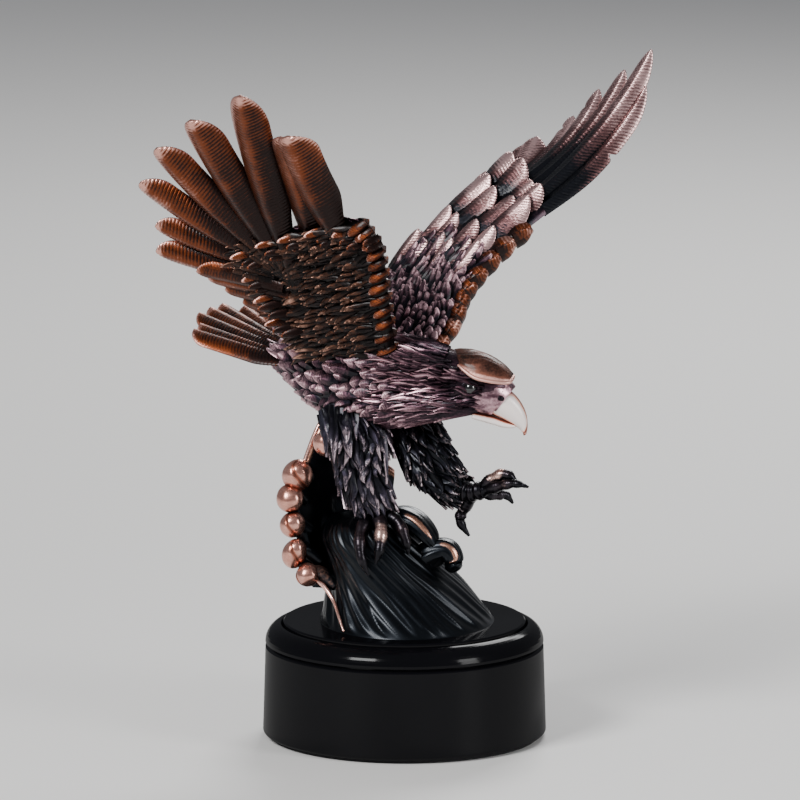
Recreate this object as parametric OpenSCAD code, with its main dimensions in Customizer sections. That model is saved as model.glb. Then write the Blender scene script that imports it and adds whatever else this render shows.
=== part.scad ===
// Eagle alighting on a breaking wave: a plated casting on a round stepped plinth.
// Millimetres. +Z is up. The origin is the centre of the felt pad's underside.
// The beak points to +X, the tail goes back towards -X and +Y.

/* [Plinth] */
// Diameter of the drum at the table
base_d = 114; // [112:0.5:118]
// Diameter of the drum at the groove
drum_top_d = 112; // [108:0.5:112]
// Height of the groove above the table
groove_z = 38; // [36:0.5:39]
// Radius of the quarter-round moulding
moulding_r = 7.5; // [6.5:0.25:7.5]
// Diameter of the raised disc under the wave
disc_d = 97.5; // [92:0.5:98]
// Height of the disc's top above the table
disc_z = 47.5; // [46.5:0.5:50]
// Thickness of the felt pad
felt_t = 1.5; // [1:0.25:2]

/* [Fixings] */
// Shank diameter of the screw through the plinth
screw_d = 6; // [4:0.5:8]
// Play round the screw in its clearance hole
screw_play = 0.3; // [0.2:0.1:0.5]
// Diameter of the counterbore for the screw's head
head_bore_d = 24; // [22:1:30]
// Depth of the counterbore
head_bore_h = 14; // [10:1:18]
// Outside diameter of the threaded insert in the wave's foot
insert_d = 10; // [9:0.5:12]
// Length of the threaded insert
insert_h = 14; // [10:1:16]
// Diameter of the steel pins between the castings
pin_d = 3; // [2:0.5:3]
// Diameter of the steel rod from the wave into the standing leg
rod_d = 4; // [3:0.5:4]

/* [Casting] */
// Thickness of a flight feather at its quill
quill_t = 2; // [1.6:0.1:2.6]
// Number of sides on the body's and the legs' sections
body_sides = 20; // [16:2:24]
// Depth of the flutes down the wave, as a share of its radius
flute = 0.05; // [0.02:0.01:0.07]
// Number of flutes round the wave
flutes = 11; // [7:1:13]

/* [Hidden] */
$fn = 64;

// The castings are placed for a plinth of this height and rise with disc_z.
drawn_disc_z = 47.5;
lift = disc_z - drawn_disc_z;
arc_steps = 10;
spigot_d = 40;
spigot_h = 3;
spigot_play = 0.2;
washer_t = 1.6;
washer_d = 20;
head_h = 6;
head_d = 10;
key_d = 5;
screw_reach = 12;
pin_len = 14;
locating_x = 24;
pad_inset = 3;
up = [0, 0, 1];
trunk_middle = [0, 0, 120];
right_wing_middle = [-50, -30, 210];
left_wing_middle = [50, 30, 210];

// Where the screw's head, washer and shank lie
head_roof = felt_t + head_bore_h;
washer_z = head_roof - washer_t;

// Sections of the trunk and head: x, y, z, half width, half height
trunk_rows = [
  [-52, 26, 151.5, 4, 4.5],
  [-44, 19, 150, 8, 7.5],
  [-34, 11, 147, 14, 12.5],
  [-22, 2, 145.5, 18, 17.5],
  [-8, -9, 147, 19, 18.5],
  [3, -17, 149, 16.5, 17.5],
  [15, -23.5, 149.5, 13, 15],
  [25, -27, 149.5, 11, 12.5],
  [34, -28.5, 147.5, 8.5, 9.5],
  [38, -29, 144.5, 5.5, 8],
  [43.5, -30, 140, 4, 6],
  [47.5, -30.6, 134.5, 2.4, 3.2],
  [48.3, -31, 130, 0.7, 0.8]
];
trunk_steps = 3;
neck_row = 5;
neck_ring = neck_row * trunk_steps;
neck_dir = [0.87, -0.49, 0.03];
eye_r = 2.9;
eye_play = 0.1;
eye_places = [[26.2, -35.6, 149.6], [28.8, -18.6, 149.6]];

// Right wing, the one held out towards -Y
right_face = [0.36, 0.8, 0.48];
right_front = [[-3, -20, 157], [-5, -31, 175], [-7, -41.5, 193], [-9, -50, 209.5], [-16, -53, 221]];
right_back = [[-38, 4, 151], [-48, -2, 163], [-57, -6, 176], [-63, -10, 188], [-66, -17, 199]];
right_roots = [
  [-26, -44, 213], [-46, -27, 200], [-51, -26, 202], [-57, -23, 202],
  [-61, -20.5, 200.5], [-62, -18, 197], [-62, -14, 191]
];
// Tips of the primaries with their widths, outermost first
right_tips = [
  [-46, -64, 258, 16], [-65, -64, 274, 14], [-85, -49, 261, 14.5], [-99, -34, 246.5, 13],
  [-106, -20, 229.5, 11.5], [-100, -9, 210, 10], [-100, -2, 198, 10]
];
right_inner_roots = [[-48, -20, 187], [-42, -16, 176], [-34, -10, 164]];
right_inner_tips = [[-83, -5, 191.6, 11], [-69, -4.5, 180, 12], [-52, -2, 164, 12]];

// Left wing, the one raised towards +X and +Y
left_face = [-0.25, -0.67, 0.7];
left_front = [[8, -10, 154], [20, -3, 168], [25, 3, 181], [39, 12, 196], [57, 23, 209]];
left_back = [[-18, 10, 154], [-12, 22, 171], [-3, 33, 186], [20, 46, 207], [45, 50, 226]];
left_roots = [
  [54, 26, 209], [52, 30, 214], [49, 35, 217], [45, 39, 219], [40, 42, 219]
];
left_tips = [
  [97.7, 42, 256.6, 9], [99.8, 48, 271, 10], [89, 54, 262, 10], [78.5, 57, 254, 10],
  [68, 59, 243, 11]
];
left_inner_roots = [[38, 30, 210], [24, 22, 200], [8, 12, 182]];
left_inner_tips = [[53, 58, 235, 14], [28, 54, 218, 14], [-7, 33, 187, 14]];

// Tail fan: the feathers' roots and tips from the near side to the far side
tail_roots = [[-41, 12, 149], [-42, 18, 151], [-37, 24, 149]];
tail_tips = [[-85, 37, 158.5], [-80, 55, 163.5], [-60, 66, 163]];
tail_feathers = 7;
tail_notch = 0.13;
tail_t = 3.4;

// Legs: x, y, z, half width, half height
right_leg_rows = [
  [-24, -7, 138, 11, 13], [-19, -12, 125, 12, 13], [-18, -13, 112, 10, 10],
  [-15.5, -14, 103.5, 9, 9], [-12, -14, 96, 7.5, 8], [-11.5, -14, 93, 5, 6]
];
left_leg_rows = [
  [-2, 3, 136, 11, 11], [3.5, -2, 126, 10.5, 11], [8, -5.5, 117, 10.5, 10.5],
  [14, -9, 109, 10, 9.5], [20, -12.5, 103.8, 7, 7], [24, -14.5, 103.4, 5.5, 5.5]
];
left_shank_rows = [[20, -12.5, 104, 4, 4], [26, -15.5, 103, 3.8, 3.8], [32, -19, 104.5, 3.6, 3.4]];
// Toes run from the foot over a knuckle to the claw's tip
left_toes = [
  [[30, -18, 104, 2.6, 2.6], [35.5, -20.5, 109.5, 2.4, 2.4], [41, -23.5, 111.8, 2.3, 2.1],
    [45.5, -25.5, 108, 0.6, 0.6]],
  [[31, -19, 104, 2.6, 2.6], [38, -24, 107.2, 2.2, 2.2], [44, -28, 109, 2, 1.8],
    [49.6, -31, 108.2, 0.5, 0.5]],
  [[30, -17, 103.5, 2.6, 2.6], [36, -16, 101.8, 2.2, 2.2], [40.5, -15, 101.6, 1.8, 1.8],
    [43.5, -14, 98, 0.5, 0.5]],
  [[28, -15.5, 102.5, 2.8, 2.8], [23.5, -10.5, 94.5, 2.4, 2.4], [22.5, -10, 89.5, 2, 2],
    [26, -11, 83.9, 0.5, 0.5]]
];
right_toes = [
  [[-11.5, -15, 94, 3.2, 3.2], [-9.5, -24, 91, 2.7, 2.7], [-10, -29, 83, 2.2, 2.2],
    [-11.5, -30, 76.5, 0.5, 0.5]],
  [[-13, -15, 93, 3.2, 3.2], [-17.5, -24, 89, 2.5, 2.5], [-17.5, -30, 80, 2.1, 2.1],
    [-14.5, -30.5, 72, 0.5, 0.5]],
  [[-10, -14, 94, 3, 3], [-3, -20, 92, 2.4, 2.4], [0.5, -23.5, 85, 2, 2],
    [1.5, -23.5, 79, 0.5, 0.5]],
  [[-12, -13, 94, 3, 3], [-17, -5, 92.5, 2.4, 2.4], [-18.5, -1, 87, 2, 2],
    [-17.5, 0, 81, 0.5, 0.5]]
];

// Wave: rings from the foot up, x, y, z, half width, half depth
wave_rows = [
  [1, -1, 47.5, 36, 40], [-1, -1, 55, 31.5, 35], [-4, -1, 64, 27, 30],
  [-9, -2, 74, 22.5, 26.5], [-14, -3, 83, 19.5, 23], [-16, -4, 89, 15, 17.5],
  [-17, -5, 91.5, 8, 9]
];
wave_sides = 44;
wave_twist = 9;
// Sheet that stands up behind the leg: foot x, y, z, crest x, y, z, thickness
sheet_rows = [
  [-33, -8, 62, -45, -5, 97, 6], [-33, 3, 70, -41, 1, 109, 6.5], [-27, 8, 74, -31, 6, 129, 6.5],
  [-17, 13, 74, -18, 14, 115, 6.5], [-7, 14, 74, -4, 15, 104, 6]
];
// Foam curls down the wave's left edge: root, over the top, rolled tip
curl_rows = [
  [[-33, 2, 118, 3, 3], [-35.5, -2, 121.5, 5.5, 5.5], [-36.5, -7.5, 118.5, 4.2, 4.2],
    [-35, -9, 114.5, 2, 2]],
  [[-38, 3, 104, 3.5, 3.5], [-42, -2, 108.5, 5.5, 5.5], [-44, -7.5, 105, 4.4, 4.4],
    [-42, -9.5, 101, 2, 2]],
  [[-40, 0, 95, 3.5, 3.5], [-45, -4, 99.5, 5.2, 5.2], [-47, -9, 95.5, 4.2, 4.2],
    [-44.5, -11, 91.5, 2, 2]],
  [[-37, -3, 84, 3.5, 3.5], [-44, -6, 88.5, 4.6, 4.6], [-46.5, -10, 85, 3.8, 3.8],
    [-44, -12, 81.5, 1.8, 1.8]],
  [[-33, -8, 72, 3.2, 3.2], [-40, -8.5, 77.5, 4.4, 4.4], [-45.5, -11, 75.5, 4.6, 4.6],
    [-44, -13.5, 71.5, 2, 2]],
  [[-27, -12, 63, 3.5, 3.5], [-34, -12, 69, 4.2, 4.2], [-40, -13, 67.5, 4.8, 4.8],
    [-40.5, -15, 63, 2.2, 2.2]]
];
// Front crests that roll over to the right
crest_rows = [
  [[-11, -3, 82, 7, 6], [-3, -5.5, 89.5, 7, 5.5], [4, -9.5, 89.5, 6.5, 4.5],
    [10, -13, 84, 5, 3.5], [11.5, -13.5, 78, 2, 2]],
  [[2, -8, 70, 8, 7], [10.5, -11, 76.5, 7, 6], [17, -13.5, 78.5, 5, 4.8],
    [19.5, -14.5, 74, 4, 4], [17, -14.5, 70.5, 2, 2]]
];

// Steel pins: where each one starts and the way it points
wing_pin_rows = [
  [[-15, -9, 149], [-0.41, -0.375, 0.83]], [[-26.5, -1, 148], [-0.41, -0.42, 0.81]],
  [[0, -6, 151], [0.5, 0.42, 0.76]], [[-8, 0, 150], [0.32, 0.49, 0.81]]
];
wing_pin_len = 20;
tail_pin_at = [[-44, 19.8, 151.2], [-0.7, 0.67, 0.24]];
neck_pin_at = [[-5, -12.5, 148.5], neck_dir];
hip_pin_at = [[-3, 0, 136], [0.45, -0.25, -0.86]];
rod_low = [-9, -14, 62];
rod_high = [-18.5, -11.5, 124];

function unit(v) = v / norm(v);
function at(list, i) = list[max(0, min(len(list) - 1, i))];
function place(row) = [row[0], row[1], row[2]];
function arc(x, y, r, from, to) = [
  for (i = [0 : arc_steps])
    let (a = from + (to - from) * i / arc_steps)
    [x + r * cos(a), y + r * sin(a)]
];

// Point on a smooth curve through a, b, c and d, between b and c
function blend(a, b, c, d, t) =
  0.5 * (2 * b + (c - a) * t + (2 * a - 5 * b + 4 * c - d) * t * t
    + (3 * b - a - 3 * c + d) * t * t * t);
function on_curve(list, t) =
  let (x = t * (len(list) - 1), i = min(floor(x), len(list) - 2))
  blend(at(list, i - 1), list[i], list[i + 1], at(list, i + 2), x - i);
function smooth(list, steps) = [
  for (i = [0 : steps * (len(list) - 1)]) on_curve(list, i / (steps * (len(list) - 1)))
];

// An ellipse of points round c, square to along
function ring(c, along, w, h, sides, top) =
  let (side = unit(cross(along, top)), rise = cross(side, along))
  [for (k = [0 : sides - 1])
    c + side * w * cos(360 * k / sides) + rise * h * sin(360 * k / sides)];
function tube_rings(rows, steps, sides, top) =
  let (fine = smooth(rows, steps))
  [for (i = [0 : len(fine) - 1])
    let (along = unit(place(at(fine, i + 1)) - place(at(fine, i - 1))))
    ring(place(fine[i]), along, fine[i][3], fine[i][4], sides, top)];

function total(list, i = 0) = i < len(list) - 1 ? list[i] + total(list, i + 1) : list[i];
function middle_of(points) = total(points) / len(points);
function reversed(list) = [for (i = [len(list) - 1 : -1 : 0]) list[i]];

// Which way a ring turns about the way to the next ring
function turning(ring, next) =
  let (m = middle_of(ring), n = len(ring))
  total([for (k = [0 : n - 1]) cross(ring[k] - m, ring[(k + 1) % n] - m)])
    * (middle_of(next) - m);

// Closed skin over a list of rings with equal numbers of points
module loft(rings) {
  ordered = turning(rings[0], rings[1]) > 0 ? rings : [for (r = rings) reversed(r)];
  n = len(rings[0]);
  m = len(rings);
  points = [for (r = ordered, p = r) p];
  skin = [
    for (i = [0 : m - 2], k = [0 : n - 1])
      [i * n + k, (i + 1) * n + k, (i + 1) * n + (k + 1) % n, i * n + (k + 1) % n]
  ];
  start = [for (k = [0 : n - 1]) k];
  finish = [for (k = [n - 1 : -1 : 0]) (m - 1) * n + k];
  polyhedron(points, concat([start], skin, [finish]));
}

module tube(rows, steps = 3, sides = 12, top = up) {
  loft(tube_rings(rows, steps, sides, top));
}

// One cast body out of several overlapping shapes, joined about a point in its middle
module cast(middle = trunk_middle) {
  translate(middle + [0, 0, lift]) resize([0, 0, 0]) translate(-middle) union() children();
}

// A feather blade: narrow at the quill, full past the middle, round at the tip
module feather(root, tip, width, face, thick, sweep) {
  along = unit(tip - root);
  side = unit(cross(along, face));
  rise = cross(side, along);
  spans = [0, 0.2, 0.5, 0.75, 0.9, 0.975, 1];
  shape = [0.55, 0.8, 1, 0.97, 0.78, 0.45, 0.12];
  loft([
    for (i = [0 : len(spans) - 1])
      let (
        t = spans[i],
        c = root + (tip - root) * t + side * sweep * 4 * t * (1 - t),
        w = side * width / 2 * shape[i],
        h = rise * thick / 2 * (1.15 - 0.6 * t)
      )
      [c - w, c - w * 0.45 + h, c + h * 1.5, c + w * 0.45 + h, c + w, c + w * 0.45 - h,
        c - w * 0.45 - h]
  ]);
}

// Feathers spread evenly between two curves; the tips' fourth value is the width
module feather_row(roots, tips, count, face, thick = quill_t, sweep = 0) {
  for (k = [0 : count - 1]) {
    t = k / (count - 1);
    tip = on_curve(tips, t);
    feather(on_curve(roots, t), place(tip), tip[3], face, thick, sweep);
  }
}

// The thick, covered part of a wing, from its leading edge to the coverts' tips
module wing_panel(front, back, face, front_t, back_t) {
  stations = 9;
  loft([
    for (i = [0 : stations - 1])
      let (
        t = i / (stations - 1),
        f = on_curve(front, t),
        b = on_curve(back, t),
        nose = face * front_t * (1 - 0.45 * t),
        rear = face * back_t * (1 - 0.4 * t)
      )
      [f, f + (b - f) * 0.06 + nose * 0.75, f + (b - f) * 0.25 + nose, f + (b - f) * 0.7 + rear,
        b, f + (b - f) * 0.7 - rear, f + (b - f) * 0.25 - nose * 0.8,
        f + (b - f) * 0.06 - nose * 0.6]
  ]);
}

module bird_shape() {
  tube(trunk_rows, trunk_steps, body_sides);
}

module trunk_shape() {
  rings = tube_rings(trunk_rows, trunk_steps, body_sides, up);
  loft([for (i = [0 : neck_ring]) rings[i]]);
}

module head_shape() {
  rings = tube_rings(trunk_rows, trunk_steps, body_sides, up);
  loft([for (i = [neck_ring : len(rings) - 1]) rings[i]]);
}

module wave_shape() {
  fine = smooth(wave_rows, 2);
  loft([
    for (i = [0 : len(fine) - 1])
      [for (k = [0 : wave_sides - 1])
        let (
          a = -360 * k / wave_sides,
          r = 1 + flute * (i > 0 ? 1 : 0.4) * cos(flutes * a + wave_twist * i)
        )
        place(fine[i]) + [fine[i][3] * r * cos(a), fine[i][4] * r * sin(a), 0]]
  ]);
}

module sheet_shape() {
  fine = smooth(sheet_rows, 3);
  loft([
    for (i = [0 : len(fine) - 1])
      let (
        row = fine[i],
        foot = place(row),
        crest = [row[3], row[4], row[5]],
        along = unit(place(at(fine, i + 1)) - place(at(fine, i - 1))),
        out = unit(cross(along, up)) * row[6] / 2,
        mid = (foot + crest) / 2 - out * 0.8
      )
      [foot - out * 1.4, mid - out, crest - out * 0.5, crest + up * 0.6, crest + out * 0.5,
        mid + out, foot + out * 1.4]
  ]);
}

// Overlapping tail feathers as one fan with a scalloped end
module tail_shape() {
  steps = 6 * tail_feathers;
  loft([
    for (i = [0 : steps])
      let (
        t = i / steps,
        root = on_curve(tail_roots, t),
        reach = 1 - tail_notch * pow(abs(cos(180 * tail_feathers * t)), 3),
        tip = root + (on_curve(tail_tips, t) - root) * reach,
        ridge = up * tail_t * (0.6 + 0.4 * abs(sin(180 * tail_feathers * t)))
      )
      [root - ridge, (root + tip) / 2 - ridge * 0.6, tip - up * 0.3, tip + up * 0.3,
        (root + tip) / 2 + ridge * 0.6, root + ridge]
  ]);
}

module curl_shapes() {
  for (rows = curl_rows) tube(rows, 2, 12);
}

module crest_shapes() {
  for (rows = crest_rows) tube(rows, 2, 14);
}

module right_leg_shape() {
  tube(right_leg_rows, 2, body_sides, [1, 0, 0]);
  for (rows = right_toes) tube(rows, 2, 10);
}

module left_leg_shape() {
  tube(left_leg_rows, 2, body_sides);
  tube(left_shank_rows, 2, 12);
  for (rows = left_toes) tube(rows, 2, 10);
}

// Raises what is drawn for the plinth's standard height
module placed() {
  translate([0, 0, lift]) children();
}

// A straight pin or its hole, from a point along a direction
module rod(start, along, length, d) {
  tilt = acos(along[2] / norm(along));
  turn = atan2(along[1], along[0]);
  translate(start) rotate([0, tilt, turn]) cylinder(h = length, d = d);
}

module all_wing_pins() {
  for (p = wing_pin_rows) rod(p[0], p[1], wing_pin_len, pin_d);
}

module rod_in_leg() {
  rod(rod_low, rod_high - rod_low, norm(rod_high - rod_low), rod_d);
}

module neck_pin_shape() {
  rod(neck_pin_at[0], neck_pin_at[1], pin_len, pin_d);
}

module tail_pin_shape() {
  rod(tail_pin_at[0], tail_pin_at[1], pin_len, pin_d);
}

module hip_pin_shape() {
  rod(hip_pin_at[0], hip_pin_at[1], pin_len, pin_d);
}

module locating_pin_shapes() {
  for (x = [-locating_x, locating_x]) {
    translate([x, 0, disc_z - pin_len / 2 + 2]) cylinder(h = pin_len - 4, d = pin_d);
  }
}

module felt_pad() {
  color("dimgray") cylinder(h = felt_t, d = base_d - 2 * pad_inset);
}

module plinth_drum() {
  foot_r = 1.5;
  groove_d = 1.2;
  color([0.05, 0.05, 0.06]) difference() {
    union() {
      rotate_extrude($fn = 120) polygon(concat(
        [[0, felt_t]],
        arc(base_d / 2 - foot_r, felt_t + foot_r, foot_r, -90, 0),
        [[drum_top_d / 2, groove_z - groove_d], [drum_top_d / 2 - groove_d, groove_z],
          [0, groove_z]]
      ));
      translate([0, 0, groove_z]) cylinder(h = spigot_h, d = spigot_d);
    }
    translate([0, 0, felt_t - 1]) cylinder(h = head_bore_h + 1, d = head_bore_d);
    cylinder(h = groove_z + spigot_h + 1, d = screw_d + 2 * screw_play);
  }
}

module plinth_cap() {
  ring_r = drum_top_d / 2;
  color([0.07, 0.07, 0.08]) difference() {
    rotate_extrude($fn = 120) polygon(concat(
      [[0, groove_z], [ring_r - 1.2, groove_z]],
      arc(ring_r - moulding_r, groove_z + 0.8, moulding_r, 0, 80),
      [[disc_d / 2, groove_z + moulding_r - 0.3], [disc_d / 2, disc_z - 0.6],
        [disc_d / 2 - 0.6, disc_z], [0, disc_z]]
    ));
    translate([0, 0, groove_z - 1])
      cylinder(h = spigot_h + 1 + spigot_play, d = spigot_d + 2 * spigot_play);
    translate([0, 0, groove_z]) cylinder(h = disc_z, d = screw_d + 2 * screw_play);
    locating_pin_shapes();
  }
}

module fixing_screw() {
  color("silver") difference() {
    union() {
      translate([0, 0, washer_z - head_h]) cylinder(h = head_h, d = head_d);
      translate([0, 0, washer_z]) cylinder(h = disc_z + screw_reach - washer_z, d = screw_d - 0.1);
    }
    translate([0, 0, washer_z - head_h - 1]) cylinder(h = head_h / 2 + 1, d = key_d, $fn = 6);
  }
}

module fixing_washer() {
  color("gainsboro") translate([0, 0, washer_z]) difference() {
    cylinder(h = washer_t, d = washer_d);
    translate([0, 0, -1]) cylinder(h = washer_t + 2, d = screw_d + 2 * screw_play);
  }
}

module threaded_insert() {
  color("goldenrod") translate([0, 0, disc_z]) difference() {
    cylinder(h = insert_h, d = insert_d);
    translate([0, 0, -1]) cylinder(h = insert_h + 2, d = screw_d);
  }
}

module locating_pins() {
  color("silver") locating_pin_shapes();
}

module wave() {
  color([0.1, 0.13, 0.15]) difference() {
    cast() difference() {
      wave_shape();
      rod_in_leg();
    }
    translate([0, 0, disc_z - 1]) cylinder(h = insert_h + 1, d = insert_d);
    locating_pin_shapes();
  }
}

module wave_back_sheet() {
  color([0.16, 0.2, 0.22]) cast() difference() {
    sheet_shape();
    wave_shape();
  }
}

module foam_curls() {
  color([0.85, 0.5, 0.35]) cast() difference() {
    curl_shapes();
    wave_shape();
    sheet_shape();
  }
}

module wave_front_crest() {
  color([0.3, 0.2, 0.16]) cast() difference() {
    crest_shapes();
    wave_shape();
  }
}

module support_rod() {
  color("silver") placed() rod_in_leg();
}

module torso() {
  color([0.5, 0.36, 0.36]) difference() {
    cast() trunk_shape();
    placed() {
      all_wing_pins();
      neck_pin_shape();
      tail_pin_shape();
      hip_pin_shape();
    }
  }
}

module eye_balls(sides, play = 0) {
  for (p = eye_places) translate(p) sphere(r = eye_r + play, $fn = sides);
}

module head() {
  color([0.6, 0.42, 0.42]) difference() {
    cast() difference() {
      head_shape();
      eye_balls(24, eye_play);
    }
    placed() neck_pin_shape();
  }
}

module eyes() {
  color([0.04, 0.04, 0.04]) placed() eye_balls(64);
}

module neck_pin() {
  color("silver") placed() neck_pin_shape();
}

module right_wing() {
  color([0.6, 0.3, 0.12]) difference() {
    cast(right_wing_middle) difference() {
      union() {
        wing_panel(right_front, right_back, right_face, 5.5, 3);
        feather_row(right_roots, right_tips, 7, right_face, quill_t, 2);
        feather_row(right_inner_roots, right_inner_tips, 4, right_face);
      }
      bird_shape();
    }
    placed() all_wing_pins();
  }
}

module left_wing() {
  color([0.45, 0.38, 0.4]) difference() {
    cast(left_wing_middle) difference() {
      union() {
        wing_panel(left_front, left_back, left_face, 5, 3);
        feather_row(left_roots, left_tips, 5, left_face, quill_t, 5);
        feather_row(left_inner_roots, left_inner_tips, 7, left_face);
      }
      bird_shape();
    }
    placed() all_wing_pins();
  }
}

module wing_pins() {
  color("silver") placed() all_wing_pins();
}

module tail() {
  color([0.45, 0.3, 0.26]) difference() {
    cast() difference() {
      tail_shape();
      trunk_shape();
    }
    placed() tail_pin_shape();
  }
}

module tail_pin() {
  color("silver") placed() tail_pin_shape();
}

module right_leg() {
  color([0.24, 0.26, 0.32]) difference() {
    cast() difference() {
      right_leg_shape();
      trunk_shape();
      wave_shape();
      sheet_shape();
    }
    placed() rod_in_leg();
  }
}

module left_leg() {
  color([0.2, 0.23, 0.28]) difference() {
    cast() difference() {
      left_leg_shape();
      trunk_shape();
    }
    placed() hip_pin_shape();
  }
}

module hip_pin() {
  color("silver") placed() hip_pin_shape();
}

felt_pad();
plinth_drum();
plinth_cap();
fixing_screw();
fixing_washer();
threaded_insert();
locating_pins();
wave();
wave_back_sheet();
foam_curls();
wave_front_crest();
support_rod();
torso();
head();
eyes();
neck_pin();
right_wing();
left_wing();
wing_pins();
tail();
tail_pin();
right_leg();
left_leg();
hip_pin();
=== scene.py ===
import math

import bpy
import numpy as np
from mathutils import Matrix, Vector


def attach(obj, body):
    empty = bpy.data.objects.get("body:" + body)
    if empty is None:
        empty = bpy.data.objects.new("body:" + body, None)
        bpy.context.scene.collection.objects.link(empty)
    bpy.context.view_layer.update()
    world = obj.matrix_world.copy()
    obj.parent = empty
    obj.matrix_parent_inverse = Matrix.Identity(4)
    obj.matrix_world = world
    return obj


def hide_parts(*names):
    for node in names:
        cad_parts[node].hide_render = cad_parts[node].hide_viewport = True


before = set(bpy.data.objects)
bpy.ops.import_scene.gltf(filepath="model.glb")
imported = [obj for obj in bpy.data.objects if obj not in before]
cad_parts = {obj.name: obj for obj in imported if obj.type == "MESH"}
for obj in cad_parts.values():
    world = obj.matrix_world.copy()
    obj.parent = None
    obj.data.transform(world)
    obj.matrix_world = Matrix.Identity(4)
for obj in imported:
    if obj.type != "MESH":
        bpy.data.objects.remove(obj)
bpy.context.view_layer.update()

# The statuette is drawn in millimetres and scaled to metres as each mesh is made. The stage, the
# lamps and the camera are in metres.
MM = 0.001
UP = np.array([0.0, 0.0, 1.0])
TURN = 2 * math.pi
rng = np.random.default_rng(11)

# ---- Key points of the castings, as in the part's source. The trunk stops short of the beak here. ----

# Trunk and head: x, y, z, half width, half height
TRUNK = [
    [-52, 26, 151.5, 4, 4.5],
    [-44, 19, 150, 8, 7.5],
    [-34, 11, 147, 14, 12.5],
    [-22, 2, 145.5, 18, 17.5],
    [-8, -9, 147, 19, 18.5],
    [3, -17, 149, 16.5, 17.5],
    [15, -23.5, 149.5, 13, 15],
    [25, -27, 149.5, 11, 12.5],
    [34, -28.5, 147.5, 8.5, 9.5],
    [38, -29, 144.5, 5.5, 8],
]
EYES = [[26.2, -35.6, 149.6], [28.8, -18.6, 149.6]]

# Wings: the way the panel faces, its edges, and the feathers' roots and tips (x, y, z, width)
RIGHT_FACE = [0.36, 0.8, 0.48]
RIGHT_FRONT = [[-3, -20, 157], [-5, -31, 175], [-7, -41.5, 193], [-9, -50, 209.5], [-16, -53, 221]]
RIGHT_BACK = [[-38, 4, 151], [-48, -2, 163], [-57, -6, 176], [-63, -10, 188], [-66, -17, 199]]
RIGHT_ROOTS = [
    [-26, -44, 213], [-46, -27, 200], [-51, -26, 202], [-57, -23, 202],
    [-61, -20.5, 200.5], [-62, -18, 197], [-62, -14, 191],
]
RIGHT_TIPS = [
    [-46, -64, 258, 16], [-65, -64, 274, 14], [-85, -49, 261, 14.5], [-99, -34, 246.5, 13],
    [-106, -20, 229.5, 11.5], [-100, -9, 210, 10], [-100, -2, 198, 10],
]
RIGHT_INNER_ROOTS = [[-48, -20, 187], [-42, -16, 176], [-34, -10, 164]]
RIGHT_INNER_TIPS = [[-83, -5, 191.6, 11], [-69, -4.5, 180, 12], [-52, -2, 164, 12]]

LEFT_FACE = [-0.25, -0.67, 0.7]
LEFT_FRONT = [[8, -10, 154], [20, -3, 168], [25, 3, 181], [39, 12, 196], [57, 23, 209]]
LEFT_BACK = [[-18, 10, 154], [-12, 22, 171], [-3, 33, 186], [20, 46, 207], [45, 50, 226]]
LEFT_ROOTS = [[54, 26, 209], [52, 30, 214], [49, 35, 217], [45, 39, 219], [40, 42, 219]]
LEFT_TIPS = [
    [97.7, 42, 256.6, 9], [99.8, 48, 271, 10], [89, 54, 262, 10], [78.5, 57, 254, 10],
    [68, 59, 243, 11],
]
LEFT_INNER_ROOTS = [[38, 30, 210], [24, 22, 200], [8, 12, 182]]
LEFT_INNER_TIPS = [[53, 58, 235, 14], [28, 54, 218, 14], [-7, 33, 187, 14]]

TAIL_ROOTS = [[-41, 12, 149], [-42, 18, 151], [-37, 24, 149]]
TAIL_TIPS = [[-85, 37, 158.5], [-80, 55, 163.5], [-60, 66, 163]]

RIGHT_LEG = [
    [-24, -7, 138, 11, 13], [-19, -12, 125, 12, 13], [-18, -13, 112, 10, 10],
    [-15.5, -14, 103.5, 9, 9], [-12, -14, 96, 7.5, 8], [-11.5, -14, 93, 5, 6],
]
LEFT_LEG = [
    [-2, 3, 136, 11, 11], [3.5, -2, 126, 10.5, 11], [8, -5.5, 117, 10.5, 10.5],
    [14, -9, 109, 10, 9.5], [20, -12.5, 103.8, 7, 7], [24, -14.5, 103.4, 5.5, 5.5],
]
LEFT_SHANK = [[20, -12.5, 104, 4, 4], [26, -15.5, 103, 3.8, 3.8], [32, -19, 104.5, 3.6, 3.4]]
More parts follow.
